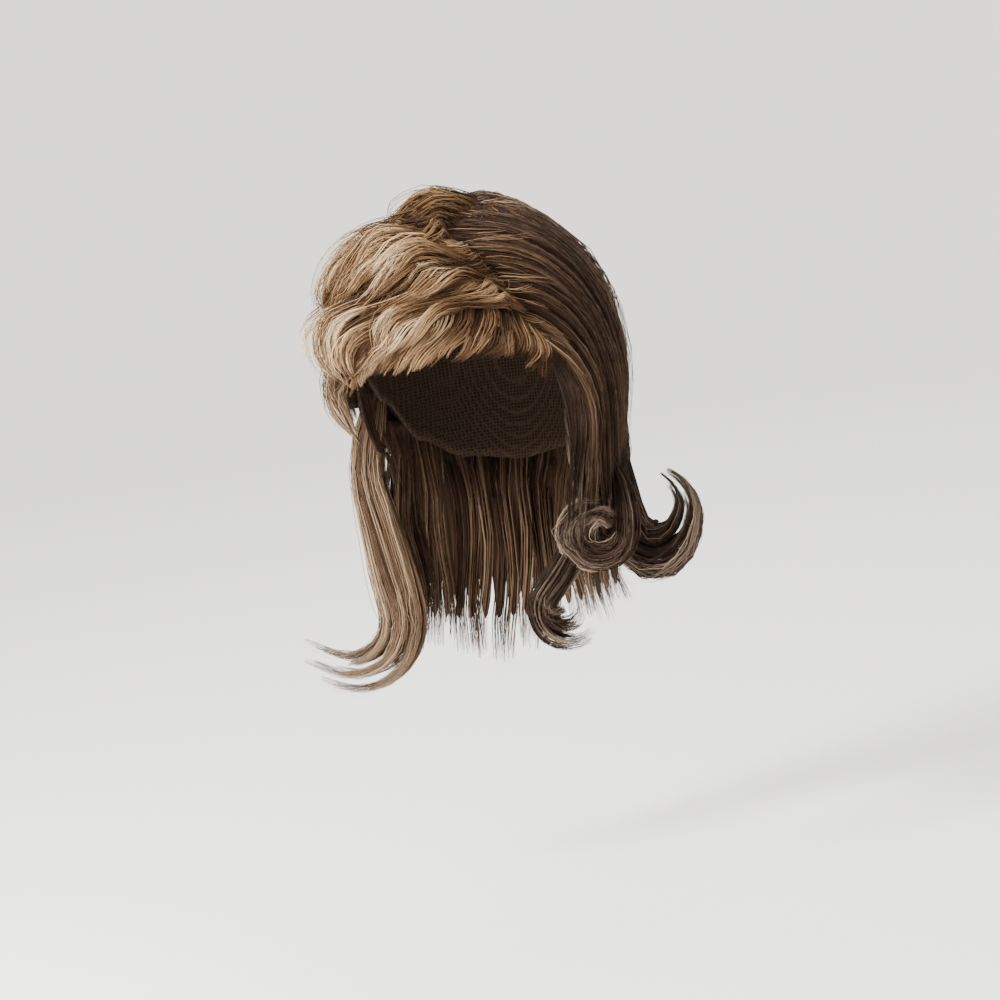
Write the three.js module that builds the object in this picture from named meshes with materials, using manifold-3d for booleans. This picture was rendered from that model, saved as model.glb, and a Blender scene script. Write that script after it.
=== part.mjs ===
// Mullet wig: a hollow stretch cap that sits on a head, with hair fused to it in masses of locks.
// The front and top are short, tousled and swept over to the wearer's right, and a feathered fringe
// lies on the forehead. The sides are short on the right and longer on the left, and the back hangs
// long: a tail that flicks outwards behind the right ear, and a bunch of curls on the left.
// Origin: the top of the cap's inside, where it rests on the crown of the head.
// +Z up, -Y the way the wearer faces, +X the wearer's left. Millimetres.
import * as THREE from "three";
import Module from "manifold-3d";

// The head that fills the cap
const HEAD_HALF_WIDTH = 77;
const HEAD_FRONT = 95; // from the vertical axis forward to the forehead
const HEAD_BACK = 102; // from the same axis back to the occiput
const CROWN_HEIGHT = 100; // from the widest level up to the crown
const NECK_TAPER = 0.22; // share by which the head narrows down to the nape
const NECK_SPAN = 0.75; // how far down that takes, in quarter turns of the head

// The cap
const CAP_WALL = 1.6;
const HEM_EXTRA = 0.9; // the elastic hem stands out from the net by this
const HEM_HEIGHT = 9;
const CLEARANCE = 0.3; // between one piece and the next
const ROOM = 1.3 * CLEARANCE; // what a piece's corners grow by to keep that clear of its faces
const REST = CAP_WALL + HEM_EXTRA + 6 * CLEARANCE; // how near the scalp a lock over the head may lie

// How far each mass of hair stands off the scalp at most
const BASE_LOFT = 20; // the even layer under the locks
const CROWN_LOFT = 22;
const TOP_LOFT = 34;
const FRINGE_LOFT = 18;
const SIDE_LOFT = 22;

// How thick a lock is in each mass
const CROWN_LOCK = 9;
const TOP_LOCK = 17;
const TOP_WAVE = 3.5; // how far a lock of the top waves out and in
const FRINGE_LOCK = 8;
const SIDE_LOCK = 12;
const BACK_LOCK = 15;

// The hair that hangs
const LEAVE_HEIGHT = 130; // from the crown of the head down to where the long hair leaves it
const HAIR_DROP = 300; // from the crown down to the longest tips
const TAIL_WIDTH = 40; // of the tail behind the right ear
const LEFT_WIDTH = 70; // of the hair below the left ear
const CURL_WIDTH = 26; // of one curled rope of hair
const FLICK_RADIUS = 30; // of the outward flick at the end of the right tail
const CURL_RADIUS = 20; // of the curls on the left

// How finely the forms are faceted
const AROUND = 24; // facets round the head
const RANKS = 6; // and from the crown to an edge
const SIDES = 5; // of a lock
const CURL_STEP = 32; // degrees of a curl to each section
const OVERLAP = 1.4; // a lock is wider than its share of the mass by this, so that it fuses with the next
const FRINGE_OVERLAP = 1.7; // more in the fringe, whose locks are thin
const UNEVEN = { place: 0.15, width: 0.25 }; // how far a lock strays, as shares of its share
const LAYER_LAP = 0.2; // how far a layer of locks reaches into the one before it
const MIN_LOCK = 4; // the thinnest that a lock over the head becomes
const TIP_THINS = 0.35; // how much of its depth a mat loses from each face towards its tips
const WAVES = 1.4; // of a lock from root to tip
const WAVE_STARTS = 0.35; // share of a lock by which its wave is full
const SWELL = [0.75, 0.95, 1, 1, 0.9, 0.65, 0.2]; // a lock's thickness from root to tip
const TIP_REACH = 3; // a lock's point stands this many half thicknesses beyond its last ring
const RIDGE = 0.35; // how deep the valleys between a mat's locks are, as a share of its depth
const RIDGE_TIP = 0.3; // how much of its trim a mat's lock loses at its ridge, give or take as much
const NOTCH = 6; // how much further the notches between a mat's tips close as it grows
const WELD = 0.01; // points nearer than this are one

const QUARTER = Math.PI / 2;
const wasm = await Module();
wasm.setup();

const radians = (degrees) => (degrees * Math.PI) / 180;
const clamp = (v, low, high) => Math.min(high, Math.max(low, v));
const smooth = (v) => clamp(v, 0, 1) ** 2 * (3 - 2 * clamp(v, 0, 1));
// A repeatable number from -1 to 1 for each pair of counts
const vary = (a, b) => {
  const s = Math.sin(a * 127.1 + b * 311.7) * 43758.5453;
  return 2 * (s - Math.floor(s)) - 1;
};

// A place over the head. az: degrees round from the front, towards the wearer's left. down: 0 at the
// crown, 1 at the widest level, then on down the neck at the same rate. lift: millimetres off the scalp.
function over(az, down, lift) {
  const turn = radians(az);
  const back = Math.cos(turn) > 0 ? HEAD_FRONT : HEAD_BACK;
  const neck = 1 - NECK_TAPER * smooth((down - 1) / NECK_SPAN);
  const reach = neck / Math.hypot(Math.sin(turn) / HEAD_HALF_WIDTH, Math.cos(turn) / back);
  const tilt = Math.min(down, 1) * QUARTER;
  const x = reach * Math.sin(tilt) * Math.sin(turn);
  const y = -reach * Math.sin(tilt) * Math.cos(turn);
  const z = CROWN_HEIGHT * (Math.cos(tilt) - 1 - Math.max(down - 1, 0) * QUARTER);
  const rise = Math.cos(tilt) / CROWN_HEIGHT;
  const out = down < 1e-6 ? [0, 0, 1] : [x / HEAD_HALF_WIDTH ** 2, y / back ** 2, rise];
  return new THREE.Vector3(x, y, z).addScaledVector(new THREE.Vector3(...out).normalize(), lift);
}

// A place in the hanging hair. x is a share of the head's half width, y of its back, and drop goes
// from 0 where the long hair leaves the head to 1 at the longest tips.
function hanging(x, y, drop) {
  const z = -LEAVE_HEIGHT - drop * (HAIR_DROP - LEAVE_HEIGHT);
  return new THREE.Vector3(x * HEAD_HALF_WIDTH, y * HEAD_BACK, z);
}

// A smooth value through evenly spaced numbers, at a share from 0 to 1 of the way along them
function along(values, share) {
  const last = values.length - 1;
  const place = clamp(share, 0, 1) * last;
  const i = Math.min(Math.floor(place), last - 1);
  const f = place - i;
  const [b, c] = [values[i], values[i + 1]];
  const a = i > 0 ? values[i - 1] : 2 * b - c;
  const d = i + 2 <= last ? values[i + 2] : 2 * c - b;
  return b + 0.5 * f * (c - a + f * (2 * a - 5 * b + 4 * c - d + f * (3 * (b - c) + d - a)));
}

// The cap's lower edge: how far down it reaches in each direction, the same on both sides
const RIM = [
  { az: 0, down: 0.66 }, // hairline
  { az: 36, down: 0.71 },
  { az: 54, down: 0.9 }, // temple
  { az: 67, down: 1.13 }, // tab in front of the ear
  { az: 80, down: 1.02 },
  { az: 93, down: 0.97 }, // over the ear
  { az: 112, down: 1.1 },
  { az: 132, down: 1.3 }, // behind the ear
  { az: 155, down: 1.41 },
  { az: 180, down: 1.45 }, // nape
];

function rimDown(az) {
  const side = Math.abs(((((az + 180) % 360) + 360) % 360) - 180);
  const i = clamp(RIM.findIndex((row) => row.az >= side), 1, RIM.length - 1);
  const [a, b] = [RIM[i - 1], RIM[i]];
  return a.down + (b.down - a.down) * smooth((side - a.az) / (b.az - a.az));
}

// How thick the even layer under the locks is in each direction, as a share of BASE_LOFT: near the
// crown, halfway down and at its lower edge
const BASE = [
  { az: 0, crown: 0.85, middle: 0.6, edge: 0.3 },
  { az: 45, crown: 0.85, middle: 0.7, edge: 0.35 },
  { az: 90, crown: 0.85, middle: 0.78, edge: 0.55 },
  { az: 135, crown: 0.85, middle: 0.85, edge: 0.65 },
  { az: 180, crown: 0.85, middle: 0.88, edge: 0.65 },
  { az: 225, crown: 0.85, middle: 0.85, edge: 0.65 },
  { az: 270, crown: 0.85, middle: 0.75, edge: 0.5 },
  { az: 315, crown: 0.85, middle: 0.65, edge: 0.35 },
  { az: 360, crown: 0.85, middle: 0.6, edge: 0.3 },
];

// The sheets of hair. Each row is one guide on the sheet's outer face, from root to tip, and the rows
// go across it. A place over the head is [az, down, share of the mass's loft].
const CROWN = [
  {
    root: [42, 0.86, 0.41], rise: [54, 0.98, 0.59], bend: [61, 1.16, 0.68],
    fall: [64, 1.4, 0.66], tip: [66, 1.66, 0.6],
  },
  {
    root: [24, 0.6, 0.64], rise: [46, 0.72, 0.8], bend: [63, 0.92, 0.86],
    fall: [74, 1.18, 0.9], tip: [80, 1.58, 0.95],
  },
  {
    root: [8, 0.3, 0.86], rise: [48, 0.42, 0.88], bend: [76, 0.66, 0.97],
    fall: [92, 0.98, 0.98], tip: [98, 1.44, 1.02],
  },
  {
    root: [70, 0.06, 0.9], rise: [104, 0.3, 0.9], bend: [112, 0.62, 1],
    fall: [118, 1, 0.98], tip: [120, 1.46, 1.02],
  },
  {
    root: [130, 0.05, 0.98], rise: [148, 0.36, 1], bend: [146, 0.72, 0.98],
    fall: [145, 1.06, 0.9], tip: [145, 1.5, 0.9],
  },
  {
    root: [180, 0.05, 0.98], rise: [180, 0.38, 1.02], bend: [180, 0.76, 1],
    fall: [180, 1.12, 0.92], tip: [180, 1.54, 0.92],
  },
  {
    root: [230, 0.05, 0.98], rise: [214, 0.36, 1], bend: [216, 0.72, 0.98],
    fall: [217, 1.06, 0.9], tip: [217, 1.5, 0.9],
  },
  {
    root: [285, 0.06, 0.98], rise: [266, 0.3, 1], bend: [262, 0.62, 0.94],
    fall: [259, 0.98, 0.86], tip: [256, 1.38, 0.84],
  },
];

const TOP = [
  {
    root: [100, 0.1, 0.66], rise: [-30, 0.08, 0.7], crest: [-62, 0.25, 0.72],
    bend: [-76, 0.45, 0.78], fall: [-84, 0.63, 0.84], tip: [-90, 0.82, 0.72],
  },
  {
    root: [14, 0.3, 0.62], rise: [-4, 0.32, 0.84], crest: [-26, 0.42, 0.86],
    bend: [-46, 0.57, 0.9], fall: [-60, 0.74, 0.94], tip: [-72, 0.92, 0.7],
  },
  {
    root: [22, 0.48, 0.56], rise: [8, 0.49, 0.8], crest: [-10, 0.55, 0.88],
    bend: [-28, 0.67, 1], fall: [-44, 0.82, 0.92], tip: [-58, 0.98, 0.56],
  },
  {
    root: [31, 0.63, 0.5], rise: [18, 0.61, 0.7], crest: [2, 0.64, 0.82],
    bend: [-15, 0.74, 0.92], fall: [-31, 0.87, 0.78], tip: [-45, 0.98, 0.5],
  },
  {
    root: [40, 0.76, 0.42], rise: [29, 0.71, 0.56], crest: [14, 0.7, 0.66],
    bend: [-3, 0.77, 0.72], fall: [-18, 0.87, 0.62], tip: [-32, 0.96, 0.4],
  },
];

const FRINGE = [
  { root: [-22, 0.68, 0.6], bend: [-29, 0.8, 0.98], fall: [-37, 0.9, 1], tip: [-45, 1.03, 0.62] },
  { root: [-8, 0.66, 0.6], bend: [-15, 0.78, 0.98], fall: [-23, 0.88, 0.95], tip: [-31, 0.97, 0.55] },
  { root: [8, 0.64, 0.6], bend: [2, 0.77, 0.9], fall: [-6, 0.86, 0.84], tip: [-14, 0.93, 0.5] },
  { root: [20, 0.66, 0.6], bend: [18, 0.78, 0.8], fall: [12, 0.85, 0.74], tip: [6, 0.91, 0.44] },
  { root: [31, 0.7, 0.55], bend: [31, 0.81, 0.68], fall: [28, 0.88, 0.6], tip: [23, 0.93, 0.42] },
  { root: [41, 0.78, 0.5], bend: [44, 0.89, 0.58], fall: [43, 0.96, 0.5], tip: [40, 1.03, 0.4] },
];

const SIDE_RIGHT = [
  { root: [-104, 0.72, 0.6], bend: [-102, 0.92, 0.9], fall: [-101, 1.06, 0.8], tip: [-100, 1.2, 0.6] },
  { root: [-84, 0.66, 0.6], bend: [-82, 0.92, 1], fall: [-80, 1.06, 0.92], tip: [-78, 1.18, 0.68] },
  { root: [-62, 0.68, 0.6], bend: [-62, 0.92, 1], fall: [-60, 1.08, 0.88], tip: [-58, 1.22, 0.58] },
  { root: [-46, 0.76, 0.6], bend: [-48, 0.94, 0.88], fall: [-48, 1.07, 0.76], tip: [-46, 1.2, 0.46] },
];

const SIDE_LEFT = [
  {
    root: [43, 0.84, 0.38], rise: [49, 1.02, 0.42], bend: [54, 1.22, 0.42],
    fall: [54, 1.42, 0.4], tip: [50, 1.62, 0.4],
  },
  {
    root: [58, 0.88, 0.5], rise: [64, 1.1, 0.58], bend: [66, 1.34, 0.58],
    fall: [64, 1.56, 0.6], tip: [58, 1.8, 0.64],
  },
  {
    root: [76, 0.92, 0.6], rise: [80, 1.18, 0.7], bend: [82, 1.44, 0.72],
    fall: [80, 1.66, 0.76], tip: [74, 1.86, 0.82],
  },
];

// A place in the hanging hair is [x, y, drop]
const BACK = [
  { root: [0.98, 0.56, 0], waist: [0.98, 0.52, 0.34], fall: [0.94, 0.5, 0.64], tip: [0.98, 0.48, 0.86] },
  {
    root: [0.54, 0.92, 0.02], waist: [0.5, 0.88, 0.36], fall: [0.44, 0.82, 0.7],
    tip: [0.46, 0.78, 0.98],
  },
  {
    root: [-0.06, 1.02, 0.03], waist: [-0.12, 0.98, 0.38], fall: [-0.2, 0.92, 0.74],
    tip: [-0.26, 0.88, 1.06],
  },
  {
    root: [-0.66, 0.88, 0.02], waist: [-0.72, 0.86, 0.36], fall: [-0.76, 0.82, 0.72],
    tip: [-0.9, 0.78, 1.02],
  },
  {
    root: [-1.08, 0.46, 0], waist: [-1.18, 0.52, 0.34], fall: [-1.14, 0.46, 0.66],
    tip: [-1.3, 0.4, 0.94],
  },
];

// The ropes of hair. Each row is a section down the middle: its place, and its width and depth as
// shares of the rope's named width. The curl then turns on from the last section.
const TAIL_RIGHT = [
  { x: -1.04, y: 0.46, drop: -0.2, wide: 0.5, deep: 0.5 },
  { x: -1.17, y: 0.4, drop: 0, wide: 0.55, deep: 0.6 },
  { x: -1.25, y: 0.34, drop: 0.2, wide: 0.6, deep: 0.6 },
  { x: -1.17, y: 0.27, drop: 0.4, wide: 0.8, deep: 0.6 },
  { x: -1.09, y: 0.2, drop: 0.58, wide: 0.95, deep: 0.6 },
  { x: -1.02, y: 0.12, drop: 0.7, wide: 1, deep: 0.55 },
];

const TAIL_LEFT = [
  { x: 0.89, y: 0.28, drop: -0.12, wide: 0.8, deep: 0.3 },
  { x: 0.92, y: 0.2, drop: 0.12, wide: 0.9, deep: 0.3 },
  { x: 0.9, y: 0.15, drop: 0.28, wide: 0.96, deep: 0.28 },
  { x: 0.9, y: 0.1, drop: 0.43, wide: 1, deep: 0.28 },
  { x: 0.84, y: 0.06, drop: 0.6, wide: 0.94, deep: 0.24 },
];

const CURL_RING = [
  { x: 1.04, y: 0.08, drop: 0.2, wide: 0.6, deep: 0.7 },
  { x: 1.16, y: -0.08, drop: 0.34, wide: 0.7, deep: 0.8 },
  { x: 1.17, y: -0.18, drop: 0.46, wide: 0.8, deep: 0.8 },
];

const CURL_OUTER = [
  { x: 1.0, y: 0.4, drop: 0.12, wide: 0.7, deep: 0.7 },
  { x: 1.0, y: 0.36, drop: 0.35, wide: 0.9, deep: 0.8 },
  { x: 1.05, y: 0.32, drop: 0.53, wide: 1.3, deep: 0.9 },
  { x: 1.26, y: 0.29, drop: 0.61, wide: 1.8, deep: 0.9 },
  { x: 1.5, y: 0.26, drop: 0.56, wide: 1.3, deep: 0.8 },
  { x: 1.61, y: 0.24, drop: 0.45, wide: 0.9, deep: 0.6 },
  { x: 1.56, y: 0.22, drop: 0.36, wide: 0.6, deep: 0.4 },
  { x: 1.44, y: 0.2, drop: 0.3, wide: 0.4, deep: 0.3 },
];

const CURL_FRONT = [
  { x: 0.84, y: -0.12, drop: 0.4, wide: 0.7, deep: 0.7 },
  { x: 0.66, y: -0.2, drop: 0.56, wide: 0.8, deep: 0.8 },
  { x: 0.44, y: -0.3, drop: 0.68, wide: 0.8, deep: 0.8 },
];

// Each form of hair is a function of u across it, v from root to tip and w from its outer face in.
// A sheet lies between its guides.
function sheet(guides, place, thickness) {
  const mix = (points, share) => [0, 1, 2].map((k) => along(points.map((p) => p[k]), share));
  return (u, v, w) => {
    const across = guides.map((row) => mix(Object.values(row), v));
    return place(mix(across, u), w * thickness);
  };
}

// Over the head a sheet stays clear of what it lies on, where it is too near for its full thickness
function overHead(loft) {
  return ([az, down, share], depth) => {
    const lift = share * loft;
    const inner = Math.max(lift - depth, Math.min(REST, lift - MIN_LOCK));
    return over(az, down, depth > 0 ? inner : lift - depth);
  };
}

function hangingSheet([x, y, drop], depth) {
  const place = hanging(x, y, drop);
  return place.addScaledVector(new THREE.Vector3(place.x, place.y, 0).normalize(), -depth);
}

// A rope lies round its sections, broad towards the azimuth that it faces. Its curl turns through
// sweep degrees in that plane, from its start radius to its end one, and creeps forward by lean.
function rope({ sections, width, faces, curl }) {
  const facing = new THREE.Vector3(Math.sin(radians(faces)), -Math.cos(radians(faces)), 0);
  const spine = sections.map((row) => hanging(row.x, row.y, row.drop));
  const wide = sections.map((row) => row.wide * width);
  const deep = sections.map((row) => row.deep * width);
  const last = spine.length - 1;
  const steps = curl ? Math.ceil(Math.abs(curl.sweep) / CURL_STEP) : 0;
  const heading = spine[last].clone().sub(spine[last - 1]).projectOnPlane(facing).normalize();
  for (let i = 0; i < steps; i += 1) {
    const turn = radians(curl.sweep) / steps;
    const radius = curl.start + (curl.end - curl.start) * ((i + 0.5) / steps) ** 2;
    const next = spine[last + i].clone().addScaledVector(facing, curl.lean / steps);
    heading.applyAxisAngle(facing, turn / 2);
    spine.push(next.addScaledVector(heading, 2 * radius * Math.sin(Math.abs(turn) / 2)));
    heading.applyAxisAngle(facing, turn / 2);
    wide.push(wide[last]);
    deep.push(deep[last]);
  }
  const path = new THREE.CatmullRomCurve3(spine);
  return (u, v, w) => {
    const share = clamp(v, 0, 1);
    const tangent = path.getTangent(share);
    const side = tangent.clone().cross(facing).normalize();
    const out = side.clone().cross(tangent);
    const place = path.getPoint(share).addScaledVector(side, (u - 0.5) * along(wide, share));
    return place.addScaledVector(out, (0.5 - w) * along(deep, share));
  };
}

// A solid from its points and faces, with the faces turned out, and grown on all sides if asked
function closed(points, faces, grow) {
  const normals = points.map(() => new THREE.Vector3());
  const edge = (from, to) => points[to].clone().sub(points[from]);
  let volume = 0;
  for (const [a, b, c] of faces) {
    const normal = edge(a, b).cross(edge(a, c));
    volume += normal.dot(points[a]);
    normal.normalize();
    normals[a].addScaledVector(normal, edge(a, b).angleTo(edge(a, c)));
    normals[b].addScaledVector(normal, edge(b, c).angleTo(edge(b, a)));
    normals[c].addScaledVector(normal, edge(c, a).angleTo(edge(c, b)));
  }
  const out = Math.sign(volume);
  const moved = points.map((p, i) => p.clone().addScaledVector(normals[i].normalize(), grow * out));
  const triVerts = new Uint32Array(faces.flatMap(([a, b, c]) => (out > 0 ? [a, b, c] : [a, c, b])));
  const vertProperties = new Float32Array(moved.flatMap((p) => p.toArray()));
  return new wasm.Manifold(new wasm.Mesh({ numProp: 3, vertProperties, triVerts }));
}

// A closed solid through rings of places. A ring of one place closes an end.
function loft(rings, grow) {
  const faces = [];
  let start = 0;
  for (let i = 0; i + 1 < rings.length; i += 1) {
    const [here, there] = [rings[i].length, rings[i + 1].length];
    const next = start + here;
    const count = Math.max(here, there);
    for (let k = 0; k < count; k += 1) {
      const m = (k + 1) % count;
      if (here > 1) faces.push([start + k, start + m, next + (there > 1 ? m : 0)]);
      if (there > 1) faces.push([start + (here > 1 ? k : 0), next + m, next + k]);
    }
    start = next;
  }
  return closed(rings.flat(), faces, grow);
}

// A closed slab between two grids of places, the outer face and the inner, each [column][step]
function slab(outer, inner, grow) {
  const [columns, steps] = [outer.length - 1, outer[0].length - 1];
  const faces = [];
  const quad = (a, b, c, d) => faces.push([a, b, c], [a, c, d]);
  const at = (side, k, i) => (side * (columns + 1) + k) * (steps + 1) + i;
  for (let k = 0; k < columns; k += 1) {
    for (let i = 0; i < steps; i += 1) {
      quad(at(0, k, i), at(0, k + 1, i), at(0, k + 1, i + 1), at(0, k, i + 1));
      quad(at(1, k, i), at(1, k, i + 1), at(1, k + 1, i + 1), at(1, k + 1, i));
    }
    quad(at(0, k, 0), at(1, k, 0), at(1, k + 1, 0), at(0, k + 1, 0));
    quad(at(0, k, steps), at(0, k + 1, steps), at(1, k + 1, steps), at(1, k, steps));
  }
  for (let i = 0; i < steps; i += 1) {
    quad(at(0, 0, i), at(0, 0, i + 1), at(1, 0, i + 1), at(1, 0, i));
    quad(at(0, columns, i), at(1, columns, i), at(1, columns, i + 1), at(0, columns, i + 1));
  }
  return closed([...outer, ...inner].flat(), faces, grow);
}

// A ring of places round the head, at a share of the way from the crown to a lower edge
function ringRound(share, edge, lift) {
  return Array.from({ length: AROUND }, (_, k) => {
    const az = (360 * k) / AROUND;
    return over(az, share * edge(az), lift(az, share));
  });
}

const perMillimetre = 1 / (CROWN_HEIGHT * QUARTER); // of down, along the scalp
const hemTop = (az) => rimDown(az) - HEM_HEIGHT * perMillimetre;
const ranks = Array.from({ length: RANKS }, (_, i) => (i + 1) / RANKS);

function cap(grow) {
  const net = () => CAP_WALL;
  const hem = () => CAP_WALL + HEM_EXTRA;
  const inside = ranks.map((share) => ringRound(share, rimDown, () => 0));
  const outside = ranks.map((share) => ringRound(share, hemTop, net)).reverse();
  const hemFoot = ringRound(1, rimDown, hem);
  const hemHead = ringRound(1, (az) => hemTop(az) + HEM_EXTRA * perMillimetre, hem);
  return loft([[over(0, 0, 0)], ...inside, hemFoot, hemHead, ...outside, [over(0, 0, CAP_WALL)]], grow);
}

function baseLift(az, share) {
  const of = (column) => along(BASE.map((row) => row[column]), (((az % 360) + 360) % 360) / 360);
  return BASE_LOFT * along([of("crown"), of("middle"), of("edge")], share);
}

// The even layer lies on the net and stops above the hem
function base(grow) {
  const edge = (az) => hemTop(az) - 2 * CLEARANCE * perMillimetre;
  const inner = () => CAP_WALL + 2 * CLEARANCE;
  const outside = ranks.map((share) => ringRound(share, edge, baseLift));
  const inside = ranks.map((share) => ringRound(share, edge, inner)).reverse();
  return loft([[over(0, 0, baseLift(0, 0))], ...outside, ...inside, [over(0, 0, inner())]], grow);
}

// One lock: an oval tube along v at one place across the form, from one depth in it to another.
// It waves out and in by the mass's wave.
function lock(form, { u, near, far, wide, end, steps, wave, phase }, grow) {
  const step = 0.01;
  const middle = (a, b) => form(a, b, near).add(form(a, b, far)).multiplyScalar(0.5);
  const rings = Array.from({ length: steps + 1 }, (_, i) => {
    const v = (end * i) / steps;
    const swell = along(SWELL, i / steps);
    const across = middle(u + step, v).sub(middle(u - step, v)).divideScalar(2 * step);
    const ahead = middle(u, Math.min(v + step, 1)).sub(middle(u, Math.max(v - step, 0))).normalize();
    const a = (across.length() * wide * swell) / 2;
    const b = (form(u, v, near).distanceTo(form(u, v, far)) * swell) / 2;
    const out = ahead.clone().cross(across).normalize();
    const side = out.clone().cross(ahead);
    const sway = wave * smooth(v / WAVE_STARTS) * Math.sin(2 * Math.PI * (WAVES * v + phase));
    const centre = middle(u, v).addScaledVector(out, sway);
    const ring = Array.from({ length: SIDES }, (_, k) => {
      const turn = (2 * Math.PI * (k + 0.5)) / SIDES;
      const place = centre.clone().addScaledVector(side, a * Math.cos(turn));
      return place.addScaledVector(out, b * Math.sin(turn));
    });
    return { ring, centre, ahead, b };
  });
  const [first, last] = [rings[0], rings[steps]];
  const root = first.centre.clone().addScaledVector(first.ahead, -first.b);
  const tip = last.centre.clone().addScaledVector(last.ahead, TIP_REACH * last.b);
  return loft([[root], ...rings.map((row) => row.ring), [tip]], grow);
}

// All the locks of a mass, each a little thicker or thinner and shorter or longer than the next
function locks({ form, across, layers, steps, trim, wave = 0, overlap = OVERLAP }, grow) {
  const parts = [];
  for (let layer = 0; layer < layers; layer += 1) {
    const count = across - (layer % 2);
    for (let i = 0; i < count; i += 1) {
      const u = (i + 0.5 + UNEVEN.place * vary(i, layer)) / count;
      const near = layer / layers - (layer ? LAYER_LAP : 0);
      const far = (layer + 1) / layers;
      const wide = (overlap + UNEVEN.width * vary(i, layer + 5)) / count;
      const end = 1 - (trim / 2) * (1 + vary(i, layer + 9));
      const phase = vary(i, layer + 13);
      parts.push(lock(form, { u, near, far, wide, end, steps, wave, phase }, grow));
    }
  }
  return parts;
}

// A mat: a sheet whose locks are fused side by side, a ridge for each, and part only at their tips
function mat({ form, across, steps, trim, thickness }, grow) {
  const columns = 2 * across;
  const spare = grow / thickness;
  const grid = (depth) => Array.from({ length: columns + 1 }, (_, k) => {
    const valley = 1 - (k % 2);
    const cut = valley || RIDGE_TIP * (1 + vary(k, 3));
    const end = 1 - trim * cut + (NOTCH * grow) / HAIR_DROP;
    return Array.from({ length: steps + 1 }, (_, i) => {
      const thin = smooth((i / steps - 0.5) * 2);
      return form(k / columns, (end * i) / steps, depth(valley * RIDGE, thin));
    });
  });
  const outer = grid((sunk, thin) => sunk + (TIP_THINS - sunk) * thin - spare);
  const inner = grid((sunk, thin) => 1 - TIP_THINS * thin + spare);
  return slab(outer, inner, grow);
}

// Every mass of locks, in the order in which they are laid: each makes room for those before it.
// across and layers count its locks, and trim is how far short of the tip a lock may end.
const blond = "#a98562";
const light = "#c2a382";
const brown = "#7a5c44";
const dark = "#5b4232";
const HAIR_ROUGHNESS = 0.5;
const NET_ROUGHNESS = 0.85;
const tailCurl = { sweep: -145, start: FLICK_RADIUS, end: 2.4 * FLICK_RADIUS, lean: 14 };
const ringCurl = { sweep: -320, start: 0.85 * CURL_RADIUS, end: 0.7 * CURL_RADIUS, lean: 12 };
const frontCurl = { sweep: 200, start: 0.9 * CURL_RADIUS, end: 0.9 * CURL_RADIUS, lean: 6 };
const tail = rope({ sections: TAIL_RIGHT, width: TAIL_WIDTH, faces: -20, curl: tailCurl });
const left = rope({ sections: TAIL_LEFT, width: LEFT_WIDTH, faces: 65 });
const ring = rope({ sections: CURL_RING, width: CURL_WIDTH, faces: 0, curl: ringCurl });
const outer = rope({ sections: CURL_OUTER, width: CURL_WIDTH, faces: 0 });
const front = rope({ sections: CURL_FRONT, width: CURL_WIDTH, faces: 0, curl: frontCurl });
const crown = sheet(CROWN, overHead(CROWN_LOFT), CROWN_LOCK);
const top = sheet(TOP, overHead(TOP_LOFT), TOP_LOCK);
const fringe = sheet(FRINGE, overHead(FRINGE_LOFT), FRINGE_LOCK);
const sideRight = sheet(SIDE_RIGHT, overHead(SIDE_LOFT), SIDE_LOCK);
const sideLeft = sheet(SIDE_LEFT, overHead(SIDE_LOFT), SIDE_LOCK);
const back = sheet(BACK, hangingSheet, BACK_LOCK);
const MASSES = [
  {
    name: "crown_hair", form: crown, across: 16, steps: 7, trim: 0.12,
    thickness: CROWN_LOCK, color: brown,
  },
  {
    name: "top_waves", form: top, across: 9, layers: 1, steps: 6, trim: 0.14, wave: TOP_WAVE,
    color: light,
  },
  {
    name: "fringe", form: fringe, across: 7, layers: 1, steps: 4, trim: 0.2,
    overlap: FRINGE_OVERLAP, color: blond,
  },
  { name: "side_right", form: sideRight, across: 5, layers: 1, steps: 4, trim: 0.15, color: blond },
  { name: "side_left", form: sideLeft, across: 3, layers: 1, steps: 6, trim: 0.1, color: dark },
  { name: "tail_right", form: tail, across: 3, layers: 2, steps: 8, trim: 0.16, color: blond },
  { name: "tail_left", form: left, across: 5, layers: 1, steps: 5, trim: 0.1, color: dark },
  {
    name: "back_hair", form: back, across: 10, steps: 5, trim: 0.2,
    thickness: BACK_LOCK, color: brown,
  },
  { name: "curl_ring", form: ring, across: 3, layers: 1, steps: 8, trim: 0.16, color: brown },
  { name: "curl_outer", form: outer, across: 3, layers: 1, steps: 8, trim: 0.16, color: blond },
  { name: "curl_front", form: front, across: 3, layers: 1, steps: 7, trim: 0.16, color: brown },
];

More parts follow.
